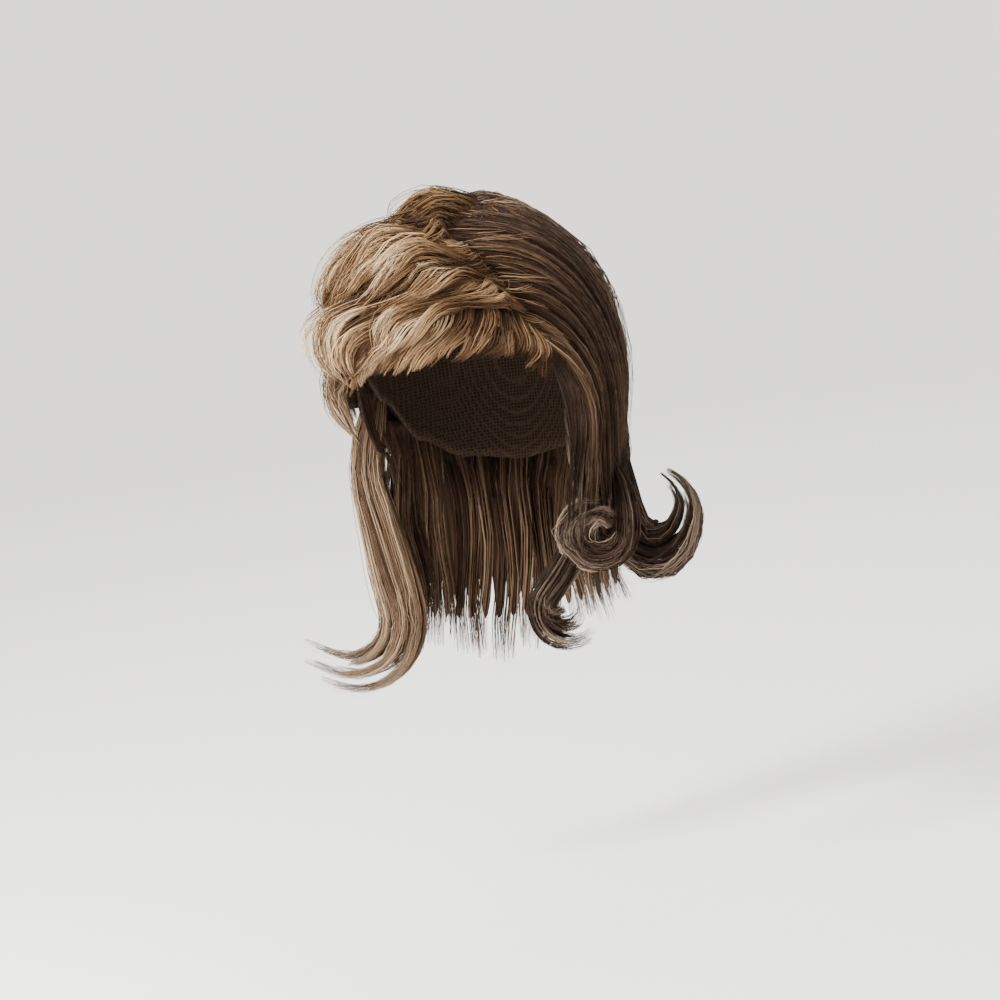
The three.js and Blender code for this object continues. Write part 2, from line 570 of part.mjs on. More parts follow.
// A solid's largest body, without the slivers that a cut leaves beside it or in its surface
function mainBody(cut) {
  const { vertProperties, triVerts } = cut.getMesh();
  const welded = new Map();
  const points = [];
  const index = Array.from({ length: vertProperties.length / 3 }, (_, i) => {
    const place = Array.from(vertProperties.slice(3 * i, 3 * i + 3), (v) => WELD * Math.round(v / WELD));
    const key = place.map((v) => v.toFixed(3)).join();
    if (!welded.has(key)) welded.set(key, points.push(place) - 1);
    return welded.get(key);
  });
  const parent = points.map((_, i) => i);
  const find = (i) => (parent[i] === i ? i : (parent[i] = find(parent[i])));
  const faces = [];
  for (let t = 0; t < triVerts.length; t += 3) {
    const [a, b, c] = [index[triVerts[t]], index[triVerts[t + 1]], index[triVerts[t + 2]]];
    if (a !== b && b !== c && c !== a) faces.push([a, b, c]);
    parent[find(a)] = find(b);
    parent[find(b)] = find(c);
  }
  const sizes = new Map();
  for (const [a] of faces) sizes.set(find(a), (sizes.get(find(a)) ?? 0) + 1);
  const largest = [...sizes].sort((one, two) => two[1] - one[1])[0][0];
  const kept = faces.filter(([a]) => find(a) === largest).flat();
  return new THREE.BufferGeometry().setFromPoints(kept.map((v) => new THREE.Vector3(...points[v])));
}

function finished(name, body, color, roughness) {
  const material = new THREE.MeshStandardMaterial({ color, roughness, metalness: 0 });
  const mesh = new THREE.Mesh(mainBody(body), material);
  mesh.geometry.computeVertexNormals();
  mesh.name = name;
  return mesh;
}

const joined = (parts) => parts.reduce((whole, part) => whole.add(part));
const wig = new THREE.Group();
wig.add(finished("wig_cap", cap(0), "#4a3a2e", NET_ROUGHNESS));
let taken = cap(ROOM);
for (const mass of MASSES) {
  const parts = (grow) => (mass.layers ? locks(mass, grow) : [mat(mass, grow)]);
  if (mass.name === "crown_hair") {
    wig.add(finished(mass.name, joined([base(0), ...parts(0)]), mass.color, HAIR_ROUGHNESS));
    taken = taken.add(base(ROOM));
  } else {
    wig.add(finished(mass.name, joined(parts(0)).subtract(taken), mass.color, HAIR_ROUGHNESS));
  }
  taken = joined([taken, ...parts(0), ...parts(ROOM)]);
}

export default wig;
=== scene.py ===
import math

import bmesh
import bpy
import numpy as np
from mathutils import Matrix, Vector


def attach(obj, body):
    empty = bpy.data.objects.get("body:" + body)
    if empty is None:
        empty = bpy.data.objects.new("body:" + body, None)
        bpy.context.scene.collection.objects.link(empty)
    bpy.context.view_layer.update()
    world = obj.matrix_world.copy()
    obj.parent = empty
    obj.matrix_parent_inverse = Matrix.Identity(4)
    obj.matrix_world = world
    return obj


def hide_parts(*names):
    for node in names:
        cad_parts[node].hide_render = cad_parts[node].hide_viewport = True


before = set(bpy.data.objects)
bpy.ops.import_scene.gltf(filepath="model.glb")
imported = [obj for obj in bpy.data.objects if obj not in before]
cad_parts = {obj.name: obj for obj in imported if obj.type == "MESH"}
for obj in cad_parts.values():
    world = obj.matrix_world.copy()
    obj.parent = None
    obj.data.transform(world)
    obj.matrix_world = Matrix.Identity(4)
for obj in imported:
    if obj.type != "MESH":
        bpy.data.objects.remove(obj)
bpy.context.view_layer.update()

MM = 0.001
QUARTER = math.pi / 2

# ---- The head and the cap, as in the part's source
HEAD_HALF_WIDTH, HEAD_FRONT, HEAD_BACK, CROWN_HEIGHT = 77, 95, 102, 100
NECK_TAPER, NECK_SPAN = 0.22, 0.75
CAP_WALL, HEM_EXTRA, HEM_HEIGHT, CLEARANCE = 1.6, 0.9, 9, 0.3
REST = CAP_WALL + HEM_EXTRA + 6 * CLEARANCE
MIN_LOCK = 4
LEAVE_HEIGHT, HAIR_DROP = 130, 300
NAPE_DROP = 45  # of the cap's lowest edge under the level where the back hair leaves the head
BASE_LOFT, CROWN_LOFT, TOP_LOFT, FRINGE_LOFT, SIDE_LOFT = 20, 22, 34, 18, 22
CROWN_LOCK, TOP_LOCK, FRINGE_LOCK, SIDE_LOCK, BACK_LOCK = 9, 17, 8, 12, 15
TAIL_WIDTH, LEFT_WIDTH, CURL_WIDTH = 40, 70, 26
FLICK_RADIUS, CURL_RADIUS = 30, 20
CURL_STEP = 32
SWELL = [0.75, 0.95, 1, 1, 0.9, 0.65, 0.2]

# The cap's lower edge: degrees round from the front, and how far down
RIM = {"az": [0, 36, 54, 67, 80, 93, 112, 132, 155, 180],
       "down": [0.66, 0.71, 0.9, 1.13, 1.02, 0.97, 1.1, 1.3, 1.41, 1.45]}

# The even layer's thickness every 45 degrees from the front, as shares of BASE_LOFT
BASE = {"crown": [0.85] * 9,
        "middle": [0.6, 0.7, 0.78, 0.85, 0.88, 0.85, 0.75, 0.65, 0.6],
        "edge": [0.3, 0.35, 0.55, 0.65, 0.65, 0.65, 0.5, 0.35, 0.3]}

# The guides: a row for each, from root to tip, of [az, down, share of the loft]
CROWN = [
    [(42, 0.86, 0.41), (54, 0.98, 0.59), (61, 1.16, 0.68), (64, 1.4, 0.66), (66, 1.66, 0.6)],
    [(24, 0.6, 0.64), (46, 0.72, 0.8), (63, 0.92, 0.86), (74, 1.18, 0.9), (80, 1.58, 0.95)],
    [(8, 0.3, 0.86), (48, 0.42, 0.88), (76, 0.66, 0.97), (92, 0.98, 0.98), (98, 1.44, 1.02)],
    [(70, 0.06, 0.9), (104, 0.3, 0.9), (112, 0.62, 1), (118, 1, 0.98), (120, 1.46, 1.02)],
    [(130, 0.05, 0.98), (148, 0.36, 1), (146, 0.72, 0.98), (145, 1.06, 0.9), (145, 1.5, 0.9)],
    [(180, 0.05, 0.98), (180, 0.38, 1.02), (180, 0.76, 1), (180, 1.12, 0.92), (180, 1.54, 0.92)],
    [(230, 0.05, 0.98), (214, 0.36, 1), (216, 0.72, 0.98), (217, 1.06, 0.9), (217, 1.5, 0.9)],
    [(285, 0.06, 0.98), (266, 0.3, 1), (262, 0.62, 0.94), (259, 0.98, 0.86), (256, 1.38, 0.84)],
]
TOP = [
    [(100, 0.1, 0.66), (-30, 0.08, 0.7), (-62, 0.25, 0.72), (-76, 0.45, 0.78), (-84, 0.63, 0.84),
     (-90, 0.82, 0.72)],
    [(14, 0.3, 0.62), (-4, 0.32, 0.84), (-26, 0.42, 0.86), (-46, 0.57, 0.9), (-60, 0.74, 0.94),
     (-72, 0.92, 0.7)],
    [(22, 0.48, 0.56), (8, 0.49, 0.8), (-10, 0.55, 0.88), (-28, 0.67, 1), (-44, 0.82, 0.92),
     (-58, 0.98, 0.56)],
    [(31, 0.63, 0.5), (18, 0.61, 0.7), (2, 0.64, 0.82), (-15, 0.74, 0.92), (-31, 0.87, 0.78),
     (-45, 0.98, 0.5)],
    [(40, 0.76, 0.42), (29, 0.71, 0.56), (14, 0.7, 0.66), (-3, 0.77, 0.72), (-18, 0.87, 0.62),
     (-32, 0.96, 0.4)],
]
FRINGE = [
    [(-22, 0.68, 0.6), (-29, 0.8, 0.98), (-37, 0.9, 1), (-45, 1.03, 0.62)],
    [(-8, 0.66, 0.6), (-15, 0.78, 0.98), (-23, 0.88, 0.95), (-31, 0.97, 0.55)],
    [(8, 0.64, 0.6), (2, 0.77, 0.9), (-6, 0.86, 0.84), (-14, 0.93, 0.5)],
    [(20, 0.66, 0.6), (18, 0.78, 0.8), (12, 0.85, 0.74), (6, 0.91, 0.44)],
    [(31, 0.7, 0.55), (31, 0.81, 0.68), (28, 0.88, 0.6), (23, 0.93, 0.42)],
    [(41, 0.78, 0.5), (44, 0.89, 0.58), (43, 0.96, 0.5), (40, 1.03, 0.4)],
]
SIDE_RIGHT = [
    [(-104, 0.72, 0.6), (-102, 0.92, 0.9), (-101, 1.06, 0.8), (-100, 1.2, 0.6)],
    [(-84, 0.66, 0.6), (-82, 0.92, 1), (-80, 1.06, 0.92), (-78, 1.18, 0.68)],
    [(-62, 0.68, 0.6), (-62, 0.92, 1), (-60, 1.08, 0.88), (-58, 1.22, 0.58)],
    [(-46, 0.76, 0.6), (-48, 0.94, 0.88), (-48, 1.07, 0.76), (-46, 1.2, 0.46)],
]
SIDE_LEFT = [
    [(43, 0.84, 0.38), (49, 1.02, 0.42), (54, 1.22, 0.42), (54, 1.42, 0.4), (50, 1.62, 0.4)],
    [(58, 0.88, 0.5), (64, 1.1, 0.58), (66, 1.34, 0.58), (64, 1.56, 0.6), (58, 1.8, 0.64)],
    [(76, 0.92, 0.6), (80, 1.18, 0.7), (82, 1.44, 0.72), (80, 1.66, 0.76), (74, 1.86, 0.82)],
]
# The hanging hair's guides are [x, y, drop]
BACK = [
    [(0.98, 0.56, 0), (0.98, 0.52, 0.34), (0.94, 0.5, 0.64), (0.98, 0.48, 0.86)],
    [(0.54, 0.92, 0.02), (0.5, 0.88, 0.36), (0.44, 0.82, 0.7), (0.46, 0.78, 0.98)],
    [(-0.06, 1.02, 0.03), (-0.12, 0.98, 0.38), (-0.2, 0.92, 0.74), (-0.26, 0.88, 1.06)],
    [(-0.66, 0.88, 0.02), (-0.72, 0.86, 0.36), (-0.76, 0.82, 0.72), (-0.9, 0.78, 1.02)],
    [(-1.08, 0.46, 0), (-1.18, 0.52, 0.34), (-1.14, 0.46, 0.66), (-1.3, 0.4, 0.94)],
]
# The ropes: sections of [x, y, drop, width share, depth share]
TAIL_RIGHT = [(-1.04, 0.46, -0.2, 0.5, 0.5), (-1.17, 0.4, 0, 0.55, 0.6), (-1.25, 0.34, 0.2, 0.6, 0.6),
              (-1.17, 0.27, 0.4, 0.8, 0.6), (-1.09, 0.2, 0.58, 0.95, 0.6), (-1.02, 0.12, 0.7, 1, 0.55)]
TAIL_LEFT = [(0.89, 0.28, -0.12, 0.8, 0.3), (0.92, 0.2, 0.12, 0.9, 0.3), (0.9, 0.15, 0.28, 0.96, 0.28),
             (0.9, 0.1, 0.43, 1, 0.28), (0.84, 0.06, 0.6, 0.94, 0.24)]
CURL_RING = [(1.04, 0.08, 0.2, 0.6, 0.7), (1.16, -0.08, 0.34, 0.7, 0.8),
             (1.17, -0.18, 0.46, 0.8, 0.8)]
CURL_OUTER = [(1.0, 0.4, 0.12, 0.7, 0.7), (1.0, 0.36, 0.35, 0.9, 0.8), (1.05, 0.32, 0.53, 1.3, 0.9),
              (1.26, 0.29, 0.61, 1.8, 0.9), (1.5, 0.26, 0.56, 1.3, 0.8), (1.61, 0.24, 0.45, 0.9, 0.6),
              (1.56, 0.22, 0.36, 0.6, 0.4), (1.44, 0.2, 0.3, 0.4, 0.3)]
CURL_FRONT = [(0.84, -0.12, 0.4, 0.7, 0.7), (0.66, -0.2, 0.56, 0.8, 0.8), (0.44, -0.3, 0.68, 0.8, 0.8)]


def smooth(v):
    v = np.clip(v, 0, 1)
    return v * v * (3 - 2 * v)


def mix(a, b, share):
    return a + (b - a) * share


def unit(v):
    return v / np.maximum(np.linalg.norm(v, axis=-1, keepdims=True), 1e-9)


def along(rows, share):
    """A smooth value through evenly spaced rows, at shares from 0 to 1 of the way along them"""
    rows, share = np.asarray(rows, float), np.asarray(share, float)
    last = len(rows) - 1
    place = np.clip(share, 0, 1) * last
    i = np.minimum(place.astype(int), last - 1)
    shape = share.shape + (1,) * (rows.ndim - 1)
    f = (place - i).reshape(shape)
    b, c = rows[i], rows[i + 1]
    a = np.where((i > 0).reshape(shape), rows[np.maximum(i - 1, 0)], 2 * b - c)
    d = np.where((i + 2 <= last).reshape(shape), rows[np.minimum(i + 2, last)], 2 * c - b)
    return b + 0.5 * f * (c - a + f * (2 * a - 5 * b + 4 * c - d + f * (3 * (b - c) + d - a)))


def over(az, down, lift):
    """A place over the head: degrees from the front, 0 at the crown to 1 at the widest level, lift"""
    az, down, lift = np.broadcast_arrays(*(np.asarray(v, float) for v in (az, down, lift)))
    turn = np.radians(az)
    back = np.where(np.cos(turn) > 0, HEAD_FRONT, HEAD_BACK)
    neck = 1 - NECK_TAPER * smooth((down - 1) / NECK_SPAN)
    reach = neck / np.hypot(np.sin(turn) / HEAD_HALF_WIDTH, np.cos(turn) / back)
    tilt = np.minimum(down, 1) * QUARTER
    x = reach * np.sin(tilt) * np.sin(turn)
    y = -reach * np.sin(tilt) * np.cos(turn)
    z = CROWN_HEIGHT * (np.cos(tilt) - 1 - np.maximum(down - 1, 0) * QUARTER)
    out = np.stack([x / HEAD_HALF_WIDTH ** 2, y / back ** 2, np.cos(tilt) / CROWN_HEIGHT], -1)
    return np.stack([x, y, z], -1) + lift[..., None] * unit(out)


def hanging(place):
    z = -LEAVE_HEIGHT - place[..., 2] * (HAIR_DROP - LEAVE_HEIGHT)
    return np.stack([place[..., 0] * HEAD_HALF_WIDTH, place[..., 1] * HEAD_BACK, z], -1)


# A form of hair is two grids over u across it and v from root to tip: its middle, and half its depth
# as a vector that points out.
ACROSS, ALONG = 96, 64


def guide_table(guides):
    lengthwise = along(np.swapaxes(np.array(guides, float), 0, 1), np.linspace(0, 1, ALONG + 1))
    return along(np.swapaxes(lengthwise, 0, 1), np.linspace(0, 1, ACROSS + 1))


def sheet_over_head(guides, loft, thickness):
    az, down, share = np.moveaxis(guide_table(guides), -1, 0)
    lift = share * loft
    inner = np.maximum(lift - thickness, np.minimum(REST, lift - MIN_LOCK))
    outer, inner = over(az, down, lift), over(az, down, inner)
    return (outer + inner) / 2, (outer - inner) / 2


def sheet_hanging(guides, thickness):
    """Beside the head it is thinner, where the cap leaves it no room"""
    outer = hanging(guide_table(guides))
    flat = outer * (1, 1, 0)
    out = unit(flat)
    reach = 1 / np.hypot(out[..., 0] / HEAD_HALF_WIDTH, out[..., 1] / HEAD_BACK)
    room = np.linalg.norm(flat, axis=-1) - reach - REST
    below = smooth((-LEAVE_HEIGHT - NAPE_DROP - outer[..., 2]) / HEM_HEIGHT)
    depth = mix(np.clip(room, MIN_LOCK, thickness), thickness, below)[..., None]
    return outer - out * depth / 2, out * depth / 2


def turned(v, axis, angle):
    return (v * math.cos(angle) + np.cross(axis, v) * math.sin(angle)
            + axis * np.dot(axis, v) * (1 - math.cos(angle)))


def rope(sections, width, faces, sweep=0, start=0, end=0, lean=0):
    """A form round its sections, broad towards the azimuth that it faces, whose curl turns on"""
    facing = np.array([math.sin(math.radians(faces)), -math.cos(math.radians(faces)), 0])
    rows = np.array(sections, float)
    spine = list(hanging(rows[:, :3]))
    wide, deep = (list(rows[:, k] * width) for k in (3, 4))
    steps = math.ceil(abs(sweep) / CURL_STEP)
    heading = spine[-1] - spine[-2]
    heading = unit(heading - facing * np.dot(heading, facing))
    for i in range(steps):
        turn = math.radians(sweep) / steps
        radius = start + (end - start) * ((i + 0.5) / steps) ** 2
        heading = turned(heading, facing, turn / 2)
        ahead = heading * 2 * radius * math.sin(abs(turn) / 2)
        spine.append(spine[-1] + facing * lean / steps + ahead)
        heading = turned(heading, facing, turn / 2)
        wide.append(wide[-1])
        deep.append(deep[-1])
    v = np.linspace(0, 1, ALONG + 1)
    path, wide, deep = (along(values, v) for values in (spine, wide, deep))
    tangent = unit(np.gradient(path, axis=0))
    side = unit(np.cross(tangent, facing))
    out = unit(np.cross(side, tangent))
    u = np.linspace(-0.5, 0.5, ACROSS + 1)
    middle = path[None] + u[:, None, None] * (side * wide[:, None])[None]
    return middle, np.broadcast_to((out * deep[:, None] / 2)[None], middle.shape)


def sample(grid, u, v):
    """A grid's value at u and v, between its four nearest places, and straight on past its edges"""
    x, y = u * ACROSS, v * ALONG
    i = np.clip(x.astype(int), 0, ACROSS - 1)
    j = np.clip(y.astype(int), 0, ALONG - 1)
    f, g = (x - i)[..., None], (y - j)[..., None]
    return mix(mix(grid[i, j], grid[i + 1, j], f), mix(grid[i, j + 1], grid[i + 1, j + 1], f), g)


# ---- Shaders. One small function adds a node with its settings and its links or values.
def linear(hexcode):
    channels = [int(hexcode[i:i + 2], 16) / 255 for i in (1, 3, 5)]
    return tuple(c / 12.92 if c <= 0.04045 else ((c + 0.055) / 1.055) ** 2.4 for c in channels) + (1,)


def add(tree, kind, inputs=(), **settings):
    node = tree.nodes.new(kind)
    for key, value in settings.items():
        setattr(node, key, value)
    for key, value in dict(inputs).items():
        socket = node.inputs[key]
        if isinstance(value, bpy.types.NodeSocket):
            tree.links.new(value, socket)
        else:
            socket.default_value = value
    return node


def ramp(node, stops):
    """Sets a colour ramp to its stops, pairs of place and sRGB colour"""
    line = node.color_ramp
    while len(line.elements) > len(stops):
        line.elements.remove(line.elements[-1])
    while len(line.elements) < len(stops):
        line.elements.new(1)
    for element, (place, color) in zip(line.elements, stops):
        element.position = place
        element.color = linear(color)


def new_material(name):
    material = bpy.data.materials.new(name)
    material.use_nodes = True
    tree = material.node_tree
    return material, tree, tree.nodes["Principled BSDF"]


FIBRE_IOR = 1.53  # modacrylic
STRAND_ROUGHNESS = 0.5  # drawn fibre with a matt finish against plastic shine
CORE_ROUGHNESS = 0.6
SHEEN = 0.06  # of a smooth fibre's own shine
ROOT_SHADE, ROOT_REACH = 0.72, 0.3  # how far a strand's root is darkened to the root colour, partly the fibre's own dark roots and partly painted shade under the strands over it, and how far up it that goes
STREAK_STOPS, CORE_STOPS = (0, 0.28, 0.6, 1), (0.35, 0.6, 0.85)
GROOVE_DEPTH, GROOVE_STRENGTH = 0.6, 0.8
GLINT = "#ecdcc8"  # light that comes back through the fibre takes its colour


def fibre_finish(shader, roughness):
    shader.inputs["Roughness"].default_value = roughness
    shader.inputs["IOR"].default_value = FIBRE_IOR
    shader.inputs["Specular IOR Level"].default_value = SHEEN
    shader.inputs["Specular Tint"].default_value = linear(GLINT)


def strand_material(name, root, low, middle, high):
    """Modacrylic fibre: dark at the root, partly its own dark roots and partly painted shade, and
    streaked from low to high from one strand to the next by a tone that also carries painted shade and
    painted highlights
    """
    material, tree, shader = new_material(name)
    tone = add(tree, "ShaderNodeAttribute", attribute_name="tone")
    place = add(tree, "ShaderNodeAttribute", attribute_name="along")
    streak = add(tree, "ShaderNodeValToRGB", {"Fac": tone.outputs["Fac"]})
    ramp(streak, list(zip(STREAK_STOPS, (root, low, middle, high))))
    # Painted shade: each strand's first stretch runs to the root colour, partly the fibre's own dark
    # roots and partly the shade under the strands over it
    shadow = add(tree, "ShaderNodeMapRange", {"Value": place.outputs["Fac"], "From Min": 0.0,
                 "From Max": ROOT_REACH, "To Min": ROOT_SHADE, "To Max": 0.0})
    color = add(tree, "ShaderNodeMix", {"Factor": shadow.outputs[0], 6: streak.outputs[0],
                7: linear(root)}, data_type="RGBA")
    tree.links.new(color.outputs[2], shader.inputs["Base Color"])
    fibre_finish(shader, STRAND_ROUGHNESS)
    return material


STREAKS = (260, 3)  # strands that show across a core's whole width and breaks along it


def core_material(name, root, low, middle):
    """The same fibre packed close: painted darker for the shade under the strands over it, and grooved
    along the strands
    """
    material, tree, shader = new_material(name)
    place = add(tree, "ShaderNodeUVMap", uv_map="lay")
    scaled = add(tree, "ShaderNodeVectorMath", {0: place.outputs[0], 1: (*STREAKS, 1)},
                 operation="MULTIPLY")
    grain = add(tree, "ShaderNodeTexNoise", {"Vector": scaled.outputs[0], "Scale": 1.0,
                "Detail": 3.0, "Roughness": 0.6})
    streak = add(tree, "ShaderNodeValToRGB", {"Fac": grain.outputs["Fac"]})
    # The core takes only the three darker colours: painted shade under the strands
    ramp(streak, list(zip(CORE_STOPS, (root, low, middle))))
    bump = add(tree, "ShaderNodeBump", {"Height": grain.outputs["Fac"], "Strength": GROOVE_STRENGTH,
               "Distance": GROOVE_DEPTH * MM})
    tree.links.new(streak.outputs[0], shader.inputs["Base Color"])
    tree.links.new(bump.outputs[0], shader.inputs["Normal"])
    fibre_finish(shader, CORE_ROUGHNESS)
    return material


# ---- Meshes
def new_mesh(name, points, faces=(), edges=(), **attributes):
    """A mesh from points in millimetres, with a number for each point under each attribute's name"""
    mesh = bpy.data.meshes.new(name)
    mesh.from_pydata(np.asarray(points).reshape(-1, 3) * MM, edges, faces)
    for key, values in attributes.items():
        layer = mesh.attributes.new(key, "FLOAT", "POINT")
        layer.data.foreach_set("value", np.asarray(values, np.float32).ravel())
    return mesh


def new_piece(name, mesh, material, node=None):
    piece = bpy.data.objects.new(name, mesh)
    bpy.context.scene.collection.objects.link(piece)
    mesh.materials.clear()
    mesh.materials.append(material)
    for face in mesh.polygons:
        face.use_smooth = True
    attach(piece, "root")
    if node:
        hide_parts(node)
    return piece


def closed_tube(name, rings, uv, flat=False):
    """A closed tube through rings [ring][around], with its places on the lay map. A flat one's rings
    run along its outer face and back along its inner one, and a strip closes each end; a round one's
    ends are closed by a fan to a pole."""
    count, around = rings.shape[:2]
    at = np.arange(count * around).reshape(count, around)
    turn = np.roll(at, -1, axis=1)
    faces = np.stack([at[:-1], turn[:-1], turn[1:], at[1:]], -1).reshape(-1, 4).tolist()
    points, places = rings.reshape(-1, 3), uv.reshape(-1, 2)
    if flat:
        half = around // 2
        for ring in (at[0, ::-1], at[-1]):
            outer, inner = ring[:half], ring[::-1][:half]
            faces += np.stack([outer[:-1], outer[1:], inner[1:], inner[:-1]], -1).tolist()
    else:
        first, last = count * around, count * around + 1
        faces += [(turn[0, k], at[0, k], first) for k in range(around)]
        faces += [(at[-1, k], turn[-1, k], last) for k in range(around)]
        points = np.concatenate([points, rings[[0, -1]].mean(axis=1)])
        places = np.concatenate([places, uv[[0, -1]].mean(axis=1)])
    mesh = new_mesh(name, points, faces)
    corners = np.zeros(len(mesh.loops), np.int32)
    mesh.loops.foreach_get("vertex_index", corners)
    mesh.uv_layers.new(name="lay").data.foreach_set("uv", places[corners].ravel())
    return outward(mesh)


def outward(mesh):
    """Turns a closed mesh's faces outwards"""
    body = bmesh.new()
    body.from_mesh(mesh)
    bmesh.ops.recalc_face_normals(body, faces=body.faces)
    if body.calc_volume(signed=True) < 0:
        bmesh.ops.reverse_faces(body, faces=body.faces)
    body.to_mesh(mesh)
    body.free()
    return mesh


# ---- The strands' sweep, in Geometry Nodes: each path is frizzed, tapered and given a closed profile
def sweep_tree():
    tree = bpy.data.node_groups.new("hair from paths", "GeometryNodeTree")
    made = tree.interface.new_socket
    made("Geometry", in_out="INPUT", socket_type="NodeSocketGeometry")
    for name in ("Strand width", "Frizz", "Frizz length"):
        made(name, in_out="INPUT", socket_type="NodeSocketFloat")
    for name in ("Sides", "Seed"):
        made(name, in_out="INPUT", socket_type="NodeSocketInt")
    made("Material", in_out="INPUT", socket_type="NodeSocketMaterial")
    made("Geometry", in_out="OUTPUT", socket_type="NodeSocketGeometry")
    given = add(tree, "NodeGroupInput").outputs
    stray, place, thick = (add(tree, "GeometryNodeInputNamedAttribute", {"Name": name},
                               data_type="FLOAT").outputs[0] for name in ("stray", "along", "thick"))
    grain = add(tree, "ShaderNodeMath", {0: 1.0, 1: given["Frizz length"]}, operation="DIVIDE")
    own = add(tree, "ShaderNodeMath", {0: stray, 1: 3.0, 2: given["Seed"]}, operation="MULTIPLY_ADD")
    noise = add(tree, "ShaderNodeTexNoise", {"Vector": add(tree, "GeometryNodeInputPosition").outputs[0],
                "W": own.outputs[0], "Scale": grain.outputs[0], "Detail": 1.0}, noise_dimensions="4D")
    centred = add(tree, "ShaderNodeVectorMath", {0: noise.outputs["Color"], 1: (0.5, 0.5, 0.5)},
                  operation="SUBTRACT")
    reach = add(tree, "ShaderNodeMath", {0: stray, 1: given["Frizz"]}, operation="MULTIPLY")
    growing = add(tree, "ShaderNodeMath", {0: reach.outputs[0], 1: place}, operation="MULTIPLY")
    offset = add(tree, "ShaderNodeVectorMath", {0: centred.outputs[0], "Scale": growing.outputs[0]},
                 operation="SCALE")
    moved = add(tree, "GeometryNodeSetPosition", {"Geometry": given["Geometry"],
                "Offset": offset.outputs[0]})
    curves = add(tree, "GeometryNodeMeshToCurve", {"Mesh": moved.outputs[0]})
    radius = add(tree, "ShaderNodeMath", {0: given["Strand width"], 1: thick}, operation="MULTIPLY")
    half = add(tree, "ShaderNodeMath", {0: radius.outputs[0], 1: 0.5}, operation="MULTIPLY")
    profile = add(tree, "GeometryNodeCurvePrimitiveCircle", {"Resolution": given["Sides"],
                  "Radius": 1.0})
    swept = add(tree, "GeometryNodeCurveToMesh", {"Curve": curves.outputs[0],
                "Profile Curve": profile.outputs[0], "Scale": half.outputs[0], "Fill Caps": True})
    single = add(tree, "GeometryNodeRealizeInstances", {"Geometry": swept.outputs[0]})
    dressed = add(tree, "GeometryNodeSetMaterial", {"Geometry": single.outputs[0],
                  "Material": given["Material"]})
    add(tree, "NodeGroupOutput", {"Geometry": dressed.outputs[0]})
    return tree


SWEEP = sweep_tree()
PROFILE_SIDES = 3
NOISE_SPAN = 2  # noise keeps within half its range, which this makes up for


def swept(mass, paths, material, **attributes):
    """The paths [strand][point] as a plain mesh of closed strands, made by the sweep tree"""
    name = mass["name"]
    count, points = paths.shape[:2]
    at = np.arange(count * points).reshape(count, points)
    edges = np.stack([at[:, :-1], at[:, 1:]], -1).reshape(-1, 2)
    lines = bpy.data.objects.new(name, new_mesh(name, paths, edges=edges.tolist(), **attributes))
    bpy.context.scene.collection.objects.link(lines)
    modifier = lines.modifiers.new("sweep", "NODES")
    modifier.node_group = SWEEP
    values = {"Strand width": mass["width"] * MM, "Frizz": NOISE_SPAN * mass["frizz"] * MM,
              "Frizz length": mass["frizz_length"] * MM, "Sides": PROFILE_SIDES, "Seed": mass["seed"],
              "Material": material}
    for socket in SWEEP.interface.items_tree:
        if socket.in_out == "INPUT" and socket.name in values:
            modifier[socket.identifier] = values[socket.name]
    graph = bpy.context.evaluated_depsgraph_get()
    mesh = bpy.data.meshes.new_from_object(lines.evaluated_get(graph), preserve_all_data_layers=True,
                                           depsgraph=graph)
    bpy.data.objects.remove(lines)
    mesh.name = name
    return mesh


# ---- Laying the strands of one mass
ROUND_REACH = 0.6  # of a rope's locks from its middle
LOCK_STRAY, ROUND_STRAY, START_STRAY = 0.25, 0.3, 0.06
LOCK_HEIGHT, HEIGHT_STRAY, EDGE_LOCK = 0.35, 0.2, 0.97
LAYER_OVERLAP = 1.12


def lock_table(rng, mass):
    """Each lock's place across its form, a and b from -1 to 1, and where along it it starts and ends"""
    count, layers = mass["locks"], mass["layers"]
    total = count * layers
    stray = rng.uniform(-1, 1, (total, 4))
    row, column = np.divmod(np.arange(total), count)
    rise = mass["rise"] * row / max(layers - 1, 1)
    start = np.maximum(rise + START_STRAY * stray[:, 1] * (row > 0), 0)
    full = mass["reach"] * np.minimum(start + LAYER_OVERLAP - mass["rise"], 1)
    end = full * (1 - mass["trim"] * (0.5 + 0.5 * stray[:, 2]))
    if mass["round"]:
        turn = 2 * math.pi * (column + ROUND_STRAY * stray[:, 0]) / count
        return ROUND_REACH * np.cos(turn), ROUND_REACH * np.sin(turn), start, end
    a = 2 * (column + 0.5 + 0.5 * (row % 2) + LOCK_STRAY * stray[:, 0]) / count - 1
    return np.clip(a, -EDGE_LOCK, EDGE_LOCK), LOCK_HEIGHT + HEIGHT_STRAY * stray[:, 3], start, end


WISPS = 5  # to a lock
WISP_DRAW, LOCK_DRAW = 0.65, 0.85  # how far strands are drawn into their wisp and their lock's point
POINT_FROM, POINT_DEPTH = 0.25, 0.4  # where a lock starts to narrow, and its depth at its point
LOCK_SPAN = 1.2  # of a sheet's lock across, in pitches of its locks, so that neighbours mingle
ROPE_ROOT = 0.35  # how far from a rope's middle its strands root
WISP_SHIFT, WISP_HEIGHT = 0.05, 0.12  # a wisp's own way from its lock, across and in depth
LOCK_PHASE, WISP_PHASE, SWAY_PHASE = 0.16, 0.05, 0.1  # of the waves, in turns
WAVE_FROM = 0.3  # how far along the waves reach their full height
FLYAWAY_LIFT = 0.3  # the least by which a loose strand stands off
LATE_STRAY, WISP_STRAY = 0.12, 0.04  # by which a strand and a wisp end short of the lock
ROOT_SINK = -0.3  # where a sheet's strands root, between its middle and its inner face
FLYAWAY_STRAY = 4.5  # of a strand that stands off, as a multiple of the frizz
TIP_TAPER = 0.8
WISP_TONE, STRAND_TONE, DEPTH_PAINTED_SHADE = 0.14, 0.3, 0.6


